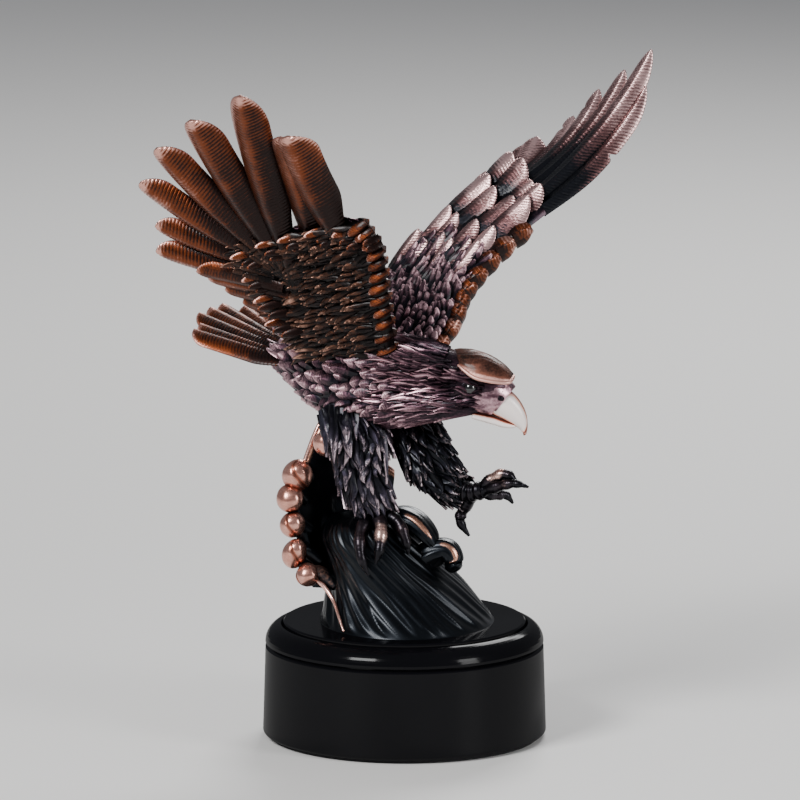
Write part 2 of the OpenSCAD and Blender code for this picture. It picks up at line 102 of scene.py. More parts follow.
# Toes run from the foot over a knuckle to the claw's tip
LEFT_TOES = [
    [[30, -18, 104, 2.6, 2.6], [35.5, -20.5, 109.5, 2.4, 2.4], [41, -23.5, 111.8, 2.3, 2.1],
     [45.5, -25.5, 108, 0.6, 0.6]],
    [[31, -19, 104, 2.6, 2.6], [38, -24, 107.2, 2.2, 2.2], [44, -28, 109, 2, 1.8],
     [49.6, -31, 108.2, 0.5, 0.5]],
    [[30, -17, 103.5, 2.6, 2.6], [36, -16, 101.8, 2.2, 2.2], [40.5, -15, 101.6, 1.8, 1.8],
     [43.5, -14, 98, 0.5, 0.5]],
    [[28, -15.5, 102.5, 2.8, 2.8], [23.5, -10.5, 94.5, 2.4, 2.4], [22.5, -10, 89.5, 2, 2],
     [26, -11, 83.9, 0.5, 0.5]],
]
RIGHT_TOES = [
    [[-11.5, -15, 94, 3.2, 3.2], [-9.5, -24, 91, 2.7, 2.7], [-10, -29, 83, 2.2, 2.2],
     [-11.5, -30, 76.5, 0.5, 0.5]],
    [[-13, -15, 93, 3.2, 3.2], [-17.5, -24, 89, 2.5, 2.5], [-17.5, -30, 80, 2.1, 2.1],
     [-14.5, -30.5, 72, 0.5, 0.5]],
    [[-10, -14, 94, 3, 3], [-3, -20, 92, 2.4, 2.4], [0.5, -23.5, 85, 2, 2],
     [1.5, -23.5, 79, 0.5, 0.5]],
    [[-12, -13, 94, 3, 3], [-17, -5, 92.5, 2.4, 2.4], [-18.5, -1, 87, 2, 2],
     [-17.5, 0, 81, 0.5, 0.5]],
]

# Wave: rings from the foot up: x, y, z, half width, half depth
WAVE = [
    [1, -1, 47.5, 36, 40], [-1, -1, 55, 31.5, 35], [-4, -1, 64, 27, 30],
    [-9, -2, 74, 22.5, 26.5], [-14, -3, 83, 19.5, 23], [-16, -4, 89, 15, 17.5],
    [-17, -5, 91.5, 8, 9],
]
# Sheet behind the leg: foot x, y, z, crest x, y, z, thickness
SHEET = [
    [-33, -8, 62, -45, -5, 97, 6], [-33, 3, 70, -41, 1, 109, 6.5], [-27, 8, 74, -31, 6, 129, 6.5],
    [-17, 13, 74, -18, 14, 115, 6.5], [-7, 14, 74, -4, 15, 104, 6],
]
# Foam curls: root, over the top, rolled tip
CURLS = [
    [[-33, 2, 118, 3, 3], [-35.5, -2, 121.5, 5.5, 5.5], [-36.5, -7.5, 118.5, 4.2, 4.2],
     [-35, -9, 114.5, 2, 2]],
    [[-38, 3, 104, 3.5, 3.5], [-42, -2, 108.5, 5.5, 5.5], [-44, -7.5, 105, 4.4, 4.4],
     [-42, -9.5, 101, 2, 2]],
    [[-40, 0, 95, 3.5, 3.5], [-45, -4, 99.5, 5.2, 5.2], [-47, -9, 95.5, 4.2, 4.2],
     [-44.5, -11, 91.5, 2, 2]],
    [[-37, -3, 84, 3.5, 3.5], [-44, -6, 88.5, 4.6, 4.6], [-46.5, -10, 85, 3.8, 3.8],
     [-44, -12, 81.5, 1.8, 1.8]],
    [[-33, -8, 72, 3.2, 3.2], [-40, -8.5, 77.5, 4.4, 4.4], [-45.5, -11, 75.5, 4.6, 4.6],
     [-44, -13.5, 71.5, 2, 2]],
    [[-27, -12, 63, 3.5, 3.5], [-34, -12, 69, 4.2, 4.2], [-40, -13, 67.5, 4.8, 4.8],
     [-40.5, -15, 63, 2.2, 2.2]],
]
CRESTS = [
    [[-11, -3, 82, 7, 6], [-3, -5.5, 89.5, 7, 5.5], [4, -9.5, 89.5, 6.5, 4.5],
     [10, -13, 84, 5, 3.5], [11.5, -13.5, 78, 2, 2]],
    [[2, -8, 70, 8, 7], [10.5, -11, 76.5, 7, 6], [17, -13.5, 78.5, 5, 4.8],
     [19.5, -14.5, 74, 4, 4], [17, -14.5, 70.5, 2, 2]],
]

# The rest of this section is detail that the part's source leaves out.

# Where the right wing's greater coverts end, from the wrist to the elbow
GREATER_TIPS = [
    [-18, -52, 214.3], [-28, -47.5, 214.3], [-39, -42, 213.3], [-50, -35, 209.8], [-60, -28.5, 206.3],
    [-69, -21, 200.3], [-66, -15, 189.6], [-61, -13, 180.6], [-56, -10, 171],
]
# Ribbon of foam that runs from the lowest curl down the wave's foot
RIBBON = [
    [-38, -13, 66.5, 1.3, 1.3], [-33.5, -13, 65, 1.1, 1.1], [-28.6, -17.4, 59, 0.8, 0.8],
    [-26.4, -24.8, 54, 0.6, 0.6], [-24.4, -29.8, 48.6, 0.5, 0.5],
]
# A puff of foam for each curl: its place from the curl's second row, 0, to the third, 1, its
# height to its width, its radius to the second row's, and the wear of the root below it
PUFFS = [
    (0.5, 1.1, 1.09, 0.3), (0.45, 1.12, 1.09, 0.3), (0.45, 1.0, 1.09, 0.3),
    (0.35, 1.1, 1.09, 0.3), (0.75, 1.35, 1.09, 0.3), (0.8, 1.0, 1.16, 0.7),
]


# ---- Small mathematics ----

def unit(v):
    """Vectors of length 1 along v"""
    v = np.asarray(v, float)
    return v / np.maximum(np.linalg.norm(v, axis=-1, keepdims=True), 1e-9)


def curve(points, t):
    """Points at t, 0 to 1, of the smooth curve through the given points"""
    p = np.asarray(points, float)
    x = np.clip(np.atleast_1d(np.asarray(t, float)), 0, 1) * (len(p) - 1)
    i = np.minimum(x.astype(int), len(p) - 2)
    f = (x - i)[:, None]
    a, b, c, d = p[np.maximum(i - 1, 0)], p[i], p[i + 1], p[np.minimum(i + 2, len(p) - 1)]
    return 0.5 * (2 * b + (c - a) * f + (2 * a - 5 * b + 4 * c - d) * f**2
                  + (3 * b - a - 3 * c + d) * f**3)


def step(x, low, high):
    """0 below low, 1 above high, smooth between them"""
    x = np.clip((np.asarray(x, float) - low) / (high - low), 0, 1)
    return x * x * (3 - 2 * x)


def spread(amount):
    """A random number from -amount to amount"""
    return rng.uniform(-amount, amount)


def paired(a, b):
    """Two numbers or arrays as arrays of one length"""
    a, b = np.atleast_1d(np.asarray(a, float)), np.atleast_1d(np.asarray(b, float))
    return np.broadcast_arrays(a, b)


def circle(sides):
    """Angles round a full turn"""
    return np.linspace(0, TURN, sides, endpoint=False)


def grid(steps, sides):
    """Places along a tube, as a column, and angles round it, as a row"""
    return np.linspace(0, 1, steps)[:, None], circle(sides)[None]


# ---- Meshes ----

def new_object(name, data):
    """An object for this data, in the scene"""
    made = bpy.data.objects.new(name, data)
    bpy.context.scene.collection.objects.link(made)
    return made


class Skin:
    """Closed lofts gathered into one mesh. Each vertex has marks for its material:
    wear, how far the patina is rubbed off, with painted highlights and painted shade added in
    places; tint, its feather's own shade; barb, its place in the feather's barbs."""

    def __init__(self):
        self.verts, self.tris, self.marks = [], [], []
        self.count = 0

    def loft(self, rings, wear=0.0, tint=0.5, barb=0.0):
        """Adds a closed surface through rings of points, with a fan over each end"""
        rings = np.asarray(rings, float)
        m, n = rings.shape[:2]
        marks = [np.broadcast_to(np.asarray(x, float), (m, n)) for x in (wear, tint, barb)]
        index = np.arange(m * n).reshape(m, n)
        a, b = index[:-1], index[1:]
        a2, b2 = np.roll(a, -1, axis=1), np.roll(b, -1, axis=1)
        first, last = m * n, m * n + 1
        lo, hi = index[0], index[-1]
        tris = np.concatenate([
            np.stack([a, b, b2], -1).reshape(-1, 3),
            np.stack([a, b2, a2], -1).reshape(-1, 3),
            np.stack([np.full(n, first), lo, np.roll(lo, -1)], -1),
            np.stack([np.full(n, last), np.roll(hi, -1), hi], -1),
        ])
        verts = np.concatenate([rings.reshape(-1, 3), [rings[0].mean(0)], [rings[-1].mean(0)]])
        corner = verts[tris] - verts.mean(0)
        if np.einsum("ij,ij->", corner[:, 0], np.cross(corner[:, 1], corner[:, 2])) < 0:
            tris = tris[:, ::-1]
        values = [np.concatenate([x.ravel(), [x[0].mean()], [x[-1].mean()]]) for x in marks]
        self.verts.append(verts)
        self.tris.append(tris + self.count)
        self.marks.append(np.stack(values, -1))
        self.count += len(verts)

    def feather(self, root, tip, normal, width, rows, cols, thick=1.6, base=0.6, round_at=0.5, point=0.0,
                quill=0.4, camber=0.5, bend=0.0, sweep=0.0, pitch=0.0, depth=0.0, slant=1.1, splits=0,
                wear=(0.2, 0.8), glint=0.3, ripple=0.0, fat=0.06, lean=0.0):
        """Adds a blade from root to tip whose convex side faces along normal.

        Outline: base is the root's width to the full width, the tip rounds off from round_at
        on, point sharpens it, and splits counts the notches.
        Line: bend lifts it, sweep curves it sideways, ripple makes it waver.
        Section: thick, camber at the edges, a quill that is quill high and fat wide.
        Barbs: ridges pitch apart and depth high that run back by slant.
        Finish: wear at the root and the tip; glint, a painted highlight along the rim and at the tip; lean,
        painted light across the blade that makes one side lighter and the other darker."""
        root, tip = np.asarray(root, float), np.asarray(tip, float)
        length = np.linalg.norm(tip - root)
        along = unit(tip - root)
        side = unit(np.cross(along, normal))
        rise = np.cross(side, along)
        near_tip = max(4, int(rows * (1 - round_at) * 1.35))
        rows = max(rows, near_tip + 3)
        t = np.concatenate([
            np.linspace(0, round_at, rows - near_tip, endpoint=False),
            round_at + (1 - round_at) * np.sin(np.linspace(0, math.pi / 2, near_tip)),
        ])
        end = np.clip((t - round_at) / (1 - round_at), 0, 1)
        shape = (base + (1 - base) * step(t, 0, 0.4)) * np.maximum(1 - end**2, 0) ** (0.5 + 0.5 * point)
        half = width / 2 * np.maximum(shape, 0.05)
        v = np.sin(np.linspace(-math.pi / 2, math.pi / 2, cols))
        left, right = np.ones(len(t)), np.ones(len(t))
        for k in range(splits):
            place, size = rng.uniform(0.3, 0.85), rng.uniform(0.15, 0.4)
            notch = 1 - size * np.exp(-((t - place) * length / 1.1) ** 2)
            if k % 2:
                left = left * notch
            else:
                right = right * notch
        across = half[:, None] * v * np.where(v < 0, left[:, None], right[:, None])
        stray = ripple * np.sin(TURN * (1.1 * t + rng.random())) * step(t, 0, 0.3)
        middle = (root + (tip - root) * t[:, None] + side * (sweep * 4 * t * (1 - t) + stray)[:, None]
                  + rise * (bend * 4 * t * (1 - t))[:, None])
        body = thick / 2 * (1.1 - 0.5 * t)[:, None] * np.sqrt(np.maximum(1 - v**2, 0))
        spine = np.exp(-(across / max(0.5, width * fat)) ** 2) * (1 - 0.75 * t)[:, None]
        arch = -camber * width / 2 * (across / (width / 2)) ** 2
        phase = np.zeros_like(across)
        ridge = np.zeros_like(across)
        if pitch:
            phase = (t[:, None] * length - slant * np.abs(across)) / pitch
            ridge = (0.5 - 0.5 * np.cos(TURN * phase)) ** 0.6 - 0.55
            ridge = ridge * step(np.abs(across), 0.04 * width, 0.12 * width)
        top = arch + body + quill * spine + depth * ridge
        low = arch - body - quill * 0.6 * spine - depth * ridge
        upper = middle[:, None] + side * across[..., None] + rise * top[..., None]
        lower = middle[:, None] + side * across[..., None] + rise * low[..., None]
        rim = np.abs(v) ** 5
        # Rubbed patina at the root, tip and rim, with a painted highlight on the rim and tip, and painted
        # light that makes one side of the blade lighter and the other darker.
        mark = (wear[0] + (wear[1] - wear[0]) * step(t, 0.05, 0.8)[:, None]
                + rim * (0.12 + glint * step(t, 0.55, 0.95))[:, None] + glint * step(t, 0.9, 1)[:, None]
                + lean * v + 0.35 * (ridge if depth else 0) + 0.15 * spine)
        rings = np.concatenate([upper, lower[:, ::-1]], axis=1)
        marks = np.concatenate([mark, mark[:, ::-1]], axis=1)
        phases = np.concatenate([phase, phase[:, ::-1]], axis=1)
        self.loft(rings, marks, rng.random(), phases)

    def tube(self, rows, steps, sides, top=UP, wear=0.4, shape=None, cap=0.0):
        """Adds a tube through rows of x, y, z, half width, half height. shape(t, a) scales its
        section, and cap is the share of its length over which each end is rounded."""
        t = np.linspace(0, 1, steps)
        if cap:
            t = 0.5 - 0.5 * np.cos(math.pi * t)
        fine = curve(rows, t)
        centre = fine[:, :3]
        along = unit(np.gradient(centre, axis=0))
        across = unit(np.cross(along, top))
        rise = np.cross(across, along)
        a = circle(sides)
        size = np.ones((steps, sides)) if shape is None else shape(t[:, None], a)
        if cap:
            inward = (1 - np.minimum(t, 1 - t) / cap).clip(0)
            size = size * np.minimum(1, np.sqrt(np.maximum(1 - inward**2, 0.002)))[:, None]
        rings = (centre[:, None] + across[:, None] * (fine[:, 3:4] * np.cos(a) * size)[..., None]
                 + rise[:, None] * (fine[:, 4:5] * np.sin(a) * size)[..., None])
        self.loft(rings, wear)

    def make(self, name, material, nodes, sharp=50, parts=1):
        """Makes the surfaces into one piece of the object, or deals them out to several"""
        done = 0
        for k, group in enumerate(np.array_split(np.arange(len(self.verts)), parts)):
            title = f"{name}_{k + 1}" if parts > 1 else name
            verts = np.concatenate([self.verts[i] for i in group])
            tris = np.concatenate([self.tris[i] for i in group]) - done
            marks = np.concatenate([self.marks[i] for i in group])
            done += len(verts)
            mesh = bpy.data.meshes.new(title)
            mesh.from_pydata(verts * MM, [], tris)
            for column, mark in enumerate(("wear", "tint", "barb")):
                layer = mesh.attributes.new(mark, "FLOAT", "POINT")
                layer.data.foreach_set("value", np.ascontiguousarray(marks[:, column], np.float32))
            mesh.shade_smooth()
            mesh.set_sharp_from_angle(angle=math.radians(sharp))
            mesh.materials.append(material)
            piece = new_object(title, mesh)
            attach(piece, "root")
            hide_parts(*nodes)


class Tube:
    """The surface of a tube through rows of x, y, z, half width, half height"""

    def __init__(self, rows, top=UP, inset=0.0):
        self.rows, self.top, self.inset = rows, top, inset

    def point(self, t, a):
        """Points at t, 0 to 1 along, and angle a, in turns"""
        t, a = paired(t, a)
        fine = curve(self.rows, t)
        ahead = curve(self.rows, np.clip(t + 0.01, 0, 1))
        behind = curve(self.rows, np.clip(t - 0.01, 0, 1))
        along = unit(ahead[:, :3] - behind[:, :3])
        across = unit(np.cross(along, self.top))
        rise = np.cross(across, along)
        turn = TURN * a
        w = (fine[:, 3] - self.inset) * np.cos(turn)
        h = (fine[:, 4] - self.inset) * np.sin(turn)
        return fine[:, :3] + across * w[:, None] + rise * h[:, None]

    def rings(self, t, sides):
        """Rings of points round the tube at each t"""
        a = np.arange(sides) / sides
        return np.stack([self.point(np.full(sides, x), a) for x in t])


def normal_at(point, u, v, inside):
    """The outward normals of a surface given as point(u, v), and how far it runs along u"""
    e = 0.004  # a small step in u and in v
    du = point(u + e, v) - point(u - e, v)
    dv = point(u, v + e) - point(u, v - e)
    n = unit(np.cross(du, dv))
    facing = np.sign(np.einsum("ij,ij->i", n, point(u, v) - inside))
    return n * facing[:, None], du / (2 * e)


def shingle(skin, surface, inside, stations, span, length, width, lift, sink=0.4, wild=0.0, overlap=0.78,
            wear=(0.2, 0.8), vary=0.12, keep=None, **look):
    """Rows of overlapping feathers along u, one row at each of stations, over the range span
    of v. length and width may be functions of the row, 0 to 1. lift and sink place the tip
    above and the root below the surface, wild and vary change each feather's turn and size,
    overlap is the spacing to the width, and keep(root, tip) says which ones stay."""
    across_row = np.linspace(span[0], span[1], 60)
    for i, u in enumerate(stations):
        share = i / max(1, len(stations) - 1)
        long, wide = [x(share) if callable(x) else x for x in (length, width)]
        row = surface(np.full(60, u), across_row)
        girth = np.linalg.norm(np.diff(row, axis=0), axis=1).sum()
        count = max(2, round(girth / (wide * overlap)))
        v = span[0] + (span[1] - span[0]) * (np.arange(count) + 0.25 + 0.5 * (i % 2)) / count
        v = v + rng.uniform(-0.12, 0.12, count) * (span[1] - span[0]) / count
        us = np.full(count, u) + rng.uniform(-0.15, 0.15, count) * abs(stations[1] - stations[0])
        n, du = normal_at(surface, us, v, inside(us, v))
        reach = long / np.maximum(np.linalg.norm(du, axis=1), 1e-6)
        root = surface(us, v) - n * sink
        ends = us + reach
        n2, _ = normal_at(surface, ends, v, inside(ends, v))
        tip = surface(ends, v) + n2 * lift
        half = surface(us + reach / 2, v)
        for k in range(count):
            if keep and not keep(root[k], tip[k]):
                continue
            face = unit(n[k] + n2[k])
            way = tip[k] - root[k]
            side = unit(np.cross(way, face))
            end = tip[k] + side * (math.tan(spread(wild)) * np.linalg.norm(way))
            end = end + (end - root[k]) * spread(vary) + face * spread(lift * 0.3)
            bulge = float(np.dot(half[k] - (root[k] + tip[k]) / 2, face))
            shade = wear[1] + spread(0.2)
            skin.feather(root[k], end, face, wide * (1 + spread(vary)), bend=max(0, bulge) + 0.1,
                         wear=(wear[0], shade), **look)


# ---- Materials ----

class Nodes:
    """A material's node tree, built by short calls"""

    def __init__(self, name):
        self.material = bpy.data.materials.new(name)
        self.material.use_nodes = True
        self.tree = self.material.node_tree
        self.shader = self.tree.nodes["Principled BSDF"]

    def add(self, kind, inputs=None, out=0, **settings):
        """A node's output that is called or numbered out"""
        node = self.tree.nodes.new("ShaderNode" + kind)
        for key, value in settings.items():
            setattr(node, key, value)
        for key, value in (inputs or {}).items():
            self.put(node.inputs[key], value)
        return node.outputs[out]

    def put(self, socket, value):
        if isinstance(value, bpy.types.NodeSocket):
            self.tree.links.new(value, socket)
        else:
            socket.default_value = value

    def math(self, operation, a, b=0.0):
        return self.add("Math", {0: a, 1: b}, operation=operation)

    def noise(self, size, detail):
        """Noise whose features are about size millimetres"""
        place = self.add("TexCoord", out="Object")
        inputs = {"Vector": place, "Scale": 1 / (size * MM), "Detail": detail, "Roughness": 0.55}
        return self.add("TexNoise", inputs)

    def ramp(self, value, low, high):
        """0 where value is low, 1 where it is high, smooth between them"""
        inputs = {"Value": value, "From Min": low, "From Max": high}
        return self.add("MapRange", inputs, interpolation_type="SMOOTHSTEP")

    def mix(self, share, a, b):
        """The colour a where share is 0, b where it is 1"""
        return self.add("Mix", {0: share, 6: a, 7: b}, out=2, data_type="RGBA")

    def set(self, **values):
        """Inputs of the Principled shader, such as base_color for Base Color"""
        for key, value in values.items():
            name = key.replace("_", " ").title().replace("Ior", "IOR")
            self.put(self.shader.inputs[name], value)


def rgb(colour):
    return (*colour, 1.0)


def casting(name, deep, mid, high, level, span=0.42, rough=0.3, barbs=0.0, metal=0.92, mottle=1.0):
    """A patinated casting: deep in the hollows, mid on the slopes, high where it is rubbed or a highlight
    is painted.
    level is the wear mark at which mid is reached, and span how far deep and high are from it."""
    n = Nodes(name)
    # The wear mark is rubbed patina, with painted highlights and painted shade added in places.
    wear = n.add("Attribute", attribute_name="wear", out="Fac")
    tint = n.add("Attribute", attribute_name="tint", out="Fac")
    cavity = n.add("AmbientOcclusion", {"Distance": 2.2 * MM}, out="AO", samples=6)
    edge = n.add("NewGeometry", out="Pointiness")
    blotch = n.noise(9, 4.0)
    grain = n.noise(0.9, 3.0)
    mark = wear
    for value, middle, weight in ((tint, 0.5, 0.22), (cavity, 0.75, 0.75), (edge, 0.5, 1.6),
                                  (blotch, 0.5, 0.7 * mottle), (grain, 0.5, 0.45 * mottle)):
        mark = n.math("ADD", mark, n.math("MULTIPLY", n.math("SUBTRACT", value, middle), weight))
    low = n.ramp(mark, level - span, level)
    top = n.ramp(mark, level, level + span)
    colour = n.mix(top, n.mix(low, rgb(deep), rgb(mid)), rgb(high))
    n.set(base_color=colour, metallic=metal, coat_weight=0.25, coat_roughness=0.22)
    shine = n.math("MULTIPLY", top, -0.1)
    shine = n.math("ADD", shine, n.math("MULTIPLY", grain, 0.12))
    n.set(roughness=n.math("ADD", shine, rough + 0.04))
    height = n.math("MULTIPLY", grain, 0.5)
    if barbs:
        barb = n.add("Attribute", attribute_name="barb", out="Fac")
        wave = n.math("SINE", n.math("MULTIPLY", barb, 2 * TURN))
        height = n.math("ADD", height, n.math("MULTIPLY", wave, barbs))
    bump = n.add("Bump", {"Strength": 0.5, "Distance": 0.12 * MM, "Height": height})
    n.set(normal=bump)
    return n.material


def plain(name, colour, rough, metallic=0.0, coat=0.0, coat_rough=0.05, grain=0.0, size=0.6, shine=0.5):
    """An even finish with a slight variation of size millimetres, grain deep in the surface"""
    n = Nodes(name)
    speck = n.noise(size, 3.0)
    dark = [c * 0.82 for c in colour]
    n.set(base_color=n.mix(n.ramp(speck, 0.3, 0.7), rgb(dark), rgb(colour)), metallic=metallic,
          roughness=n.math("ADD", n.math("MULTIPLY", speck, rough * 0.3), rough * 0.85),
          coat_weight=coat, coat_roughness=coat_rough, specular_ior_level=shine)
    if grain:
        n.set(normal=n.add("Bump", {"Strength": 0.6, "Distance": grain * MM, "Height": speck}))
    return n.material


BLACK = plain("gloss_black", (0.003, 0.003, 0.004), 0.25, coat=0.25, coat_rough=0.12, size=40, shine=0.0)
FELT = plain("felt", (0.02, 0.02, 0.022), 0.95, grain=0.4, size=0.5)
STEEL = plain("steel", (0.5, 0.5, 0.5), 0.3, metallic=1.0)
BRASS = plain("brass_insert", (0.6, 0.42, 0.16), 0.3, metallic=1.0)
EYE = plain("eye_black", (0.004, 0.004, 0.004), 0.06, coat=1.0, coat_rough=0.02, size=20)

ORANGE = casting("orange_copper", (0.012, 0.004, 0.003), (0.16, 0.034, 0.007),
                 (0.68, 0.35, 0.28), level=0.88, span=0.46, rough=0.32, barbs=0.4)
UMBER = casting("umber_patina", (0.006, 0.004, 0.004), (0.05, 0.018, 0.009),
                (0.6, 0.32, 0.23), level=0.86, barbs=0.3)
ROSE = casting("rose_copper", (0.006, 0.005, 0.01), (0.085, 0.04, 0.057),
               (0.68, 0.42, 0.46), level=0.72, barbs=0.4)
BLUSH = casting("blush_copper", (0.008, 0.009, 0.013), (0.16, 0.075, 0.075),
                (0.85, 0.55, 0.53), level=0.66, barbs=0.5)
PLUM = casting("plum_copper", (0.01, 0.005, 0.01), (0.095, 0.042, 0.06),
               (0.66, 0.4, 0.45), level=0.74)
BLUE = casting("blue_patina", (0.005, 0.005, 0.009), (0.03, 0.025, 0.04),
               (0.5, 0.39, 0.43), level=0.76, rough=0.28, barbs=0.3)
# A darker copy of the blue patina for the raised leg: patina with painted shade.
BLUE_IN_SHADE = casting("blue_patina_in_shade", (0.003, 0.004, 0.007), (0.013, 0.013, 0.02),
                (0.3, 0.24, 0.25), level=0.95, span=0.45)
TALON = casting("talon_copper", (0.005, 0.005, 0.008), (0.03, 0.022, 0.028),
                (0.85, 0.55, 0.47), level=0.8, rough=0.24)
DARK = casting("dark_patina", (0.004, 0.006, 0.009), (0.016, 0.02, 0.027),
               (0.7, 0.36, 0.25), level=0.85, span=0.4, rough=0.27)
# The beak's near-white colours on an almost non-metal base are its copper with a strong painted highlight.
BEAK = casting("beak_copper_and_highlight", (0.25, 0.06, 0.035), (0.95, 0.47, 0.34),
               (1.0, 0.9, 0.86), level=0.55, span=0.36, metal=0.05, mottle=0.4)
FOAM = casting("foam_copper", (0.03, 0.01, 0.008), (0.4, 0.13, 0.08),
               (1.0, 0.56, 0.46), level=0.56, rough=0.2, mottle=0.45)
CROWN = casting("crown_copper", (0.02, 0.01, 0.008), (0.2, 0.075, 0.05),
                (0.8, 0.45, 0.38), level=0.8, span=0.44, rough=0.5)

for node, material in {
    "felt_pad": FELT, "plinth_drum": BLACK, "plinth_cap": BLACK, "fixing_screw": STEEL,
    "fixing_washer": STEEL, "threaded_insert": BRASS, "locating_pins": STEEL,
    "support_rod": STEEL, "neck_pin": STEEL, "wing_pins": STEEL, "tail_pin": STEEL,
    "hip_pin": STEEL, "eyes": EYE,
}.items():
    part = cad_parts[node]
    part.data.materials.clear()
    part.data.materials.append(material)


# ---- Torso and tail ----

def from_head(tube):
    """The surface of a tube along the trunk, with u from the head back and v in turns"""
    def point(u, v):
        return tube.point(np.clip(1 - u, 0, 1), v)
    return point


def trunk_axis(u, v):
    """The middle of the trunk, with u from the head back"""
    return curve(TRUNK, np.clip(1 - u, 0, 1))[:, :3]


def torso():
    trunk = Tube(TRUNK, inset=0.9)
    core = Skin()
    core.loft(trunk.rings(np.linspace(0, 0.6, 50), 64), 0.1)
    core.make("torso_core", ROSE, ["torso"])
    scales = Skin()
    shingle(scales, from_head(trunk), trunk_axis, np.linspace(0.43, 0.94, 18), (0, 1), 7.8, 6.0, 1.5,
            rows=22, cols=11, thick=1.4, quill=0.5, round_at=0.35, point=0.1, pitch=0.9, slant=1.0,
            depth=0.16, wear=(-0.05, 0.66), glint=0.32, wild=0.35, vary=0.22, overlap=0.8)
    scales.make("torso_scales", ROSE, ["torso"], parts=3)


def tail():
    fan = Skin()
    count = 7
    for k in range(count):
        t = k / (count - 1)
        root, tip = curve(TAIL_ROOTS, t)[0], curve(TAIL_TIPS, t)[0]
        offset = UP * (1.3 * (1 - 2 * abs(t - 0.5)))
        reach = 1 - 0.04 * (k % 2)
        fan.feather(root + offset, root + (tip - root) * reach + offset, UP + [0, 0.25 * (t - 0.5), 0],
                    12.0, thick=1.9, rows=150, cols=15, base=0.5, round_at=0.84, quill=0.9, pitch=1.4,
                    depth=0.34, slant=0.8, splits=1, wear=(0.1, 0.42), glint=0.5, fat=0.08)
    fan.make("tail_feathers", ORANGE, ["tail"])
    coverts = Skin()
    for row, (start, reach) in enumerate([(-0.2, 0.16), (-0.1, 0.3)]):
        for side in (1, -1):
            for k in range(9):
                t = (k + 0.5 * row) / 9
                root, tip = curve(TAIL_ROOTS, t)[0], curve(TAIL_TIPS, t)[0]
                way = tip - root
                up = UP * side * (2.6 - 0.8 * row)
                end = root + way * (reach + spread(0.05)) + up
                coverts.feather(root + way * start + up, end, UP * side, 6.5, thick=1.2, rows=30,
                                cols=9, round_at=0.6, point=0.3, quill=0.5, camber=0.4, pitch=1.1,
                                depth=0.14, wear=(0.1, 0.66))
    coverts.make("tail_coverts", ROSE, ["tail"])


# ---- Wings ----

class Panel:
    """The covered part of a wing. s runs out from the shoulder, c back from the leading edge
    to the coverts' ends, and side is 1 on the face, -1 behind it. nose is the greatest height
    over the middle plane."""

    def __init__(self, front, back, face, nose):
        self.front, self.back, self.face, self.nose = front, back, unit(face), nose

    def rise(self, s, c, side):
        """The surface's height over the middle plane"""
        share = 1.0 if side > 0 else 0.8
        bar = np.interp(c, [0, 0.02, 0.06, 0.14, 0.25, 0.45, 0.7, 0.9, 1],
                        [0, 0.42, 0.72, 0.93, 1, 0.85, 0.55, 0.3, 0.06])
        return bar * self.nose * share * (1 - 0.45 * s)

    def point(self, s, c, side):
        """Points of one side's surface"""
        s, c = paired(s, c)
        s2, c2 = np.clip(s, 0, 1), np.clip(c, 0, 1.25)
        f, b = curve(self.front, s2), curve(self.back, s2)
        extra = (curve(self.front, np.ones(1)) - curve(self.front, np.full(1, 0.9))) * 10
        over = (s - s2)[:, None] * extra
        height = side * self.rise(s2, np.clip(c2, 0, 1), side)
        return f + (b - f) * c2[:, None] + over + self.face * height[:, None]

    def core(self, skin):
        """Adds the panel's closed body"""
        c = np.concatenate([np.linspace(0, 0.3, 12), np.linspace(0.36, 1, 12)])
        rings = []
        for s in np.linspace(0, 1, 40):
            top = self.point(np.full(24, s), c, 1)
            low = self.point(np.full(22, s), c[1:-1], -1)[::-1]
            rings.append(np.concatenate([top, low]))
        skin.loft(rings, 0.1)


def between(a, b):
    """The middle between two surfaces"""
    return lambda u, v: (a(u, v) + b(u, v)) / 2


def blades(skin, roots, tips, count, face, shift, wider=1.0, drop=0.0, **look):
    """Flight feathers spread between two curves. Each lies shift behind the one before, all
    of them lie drop behind the curves, and wider scales the widths of the tips' curve."""
    for k in range(count):
        t = k / (count - 1)
        root, tip = curve(roots, t)[0], curve(tips, t)[0]
        offset = unit(face) * (-shift * (k - (count - 1) / 2) - drop)
        length = np.linalg.norm(tip[:3] - root)
        skin.feather(root + offset, tip[:3] + offset, face, tip[3] * wider, rows=int(length * 2.6),
                     **look)


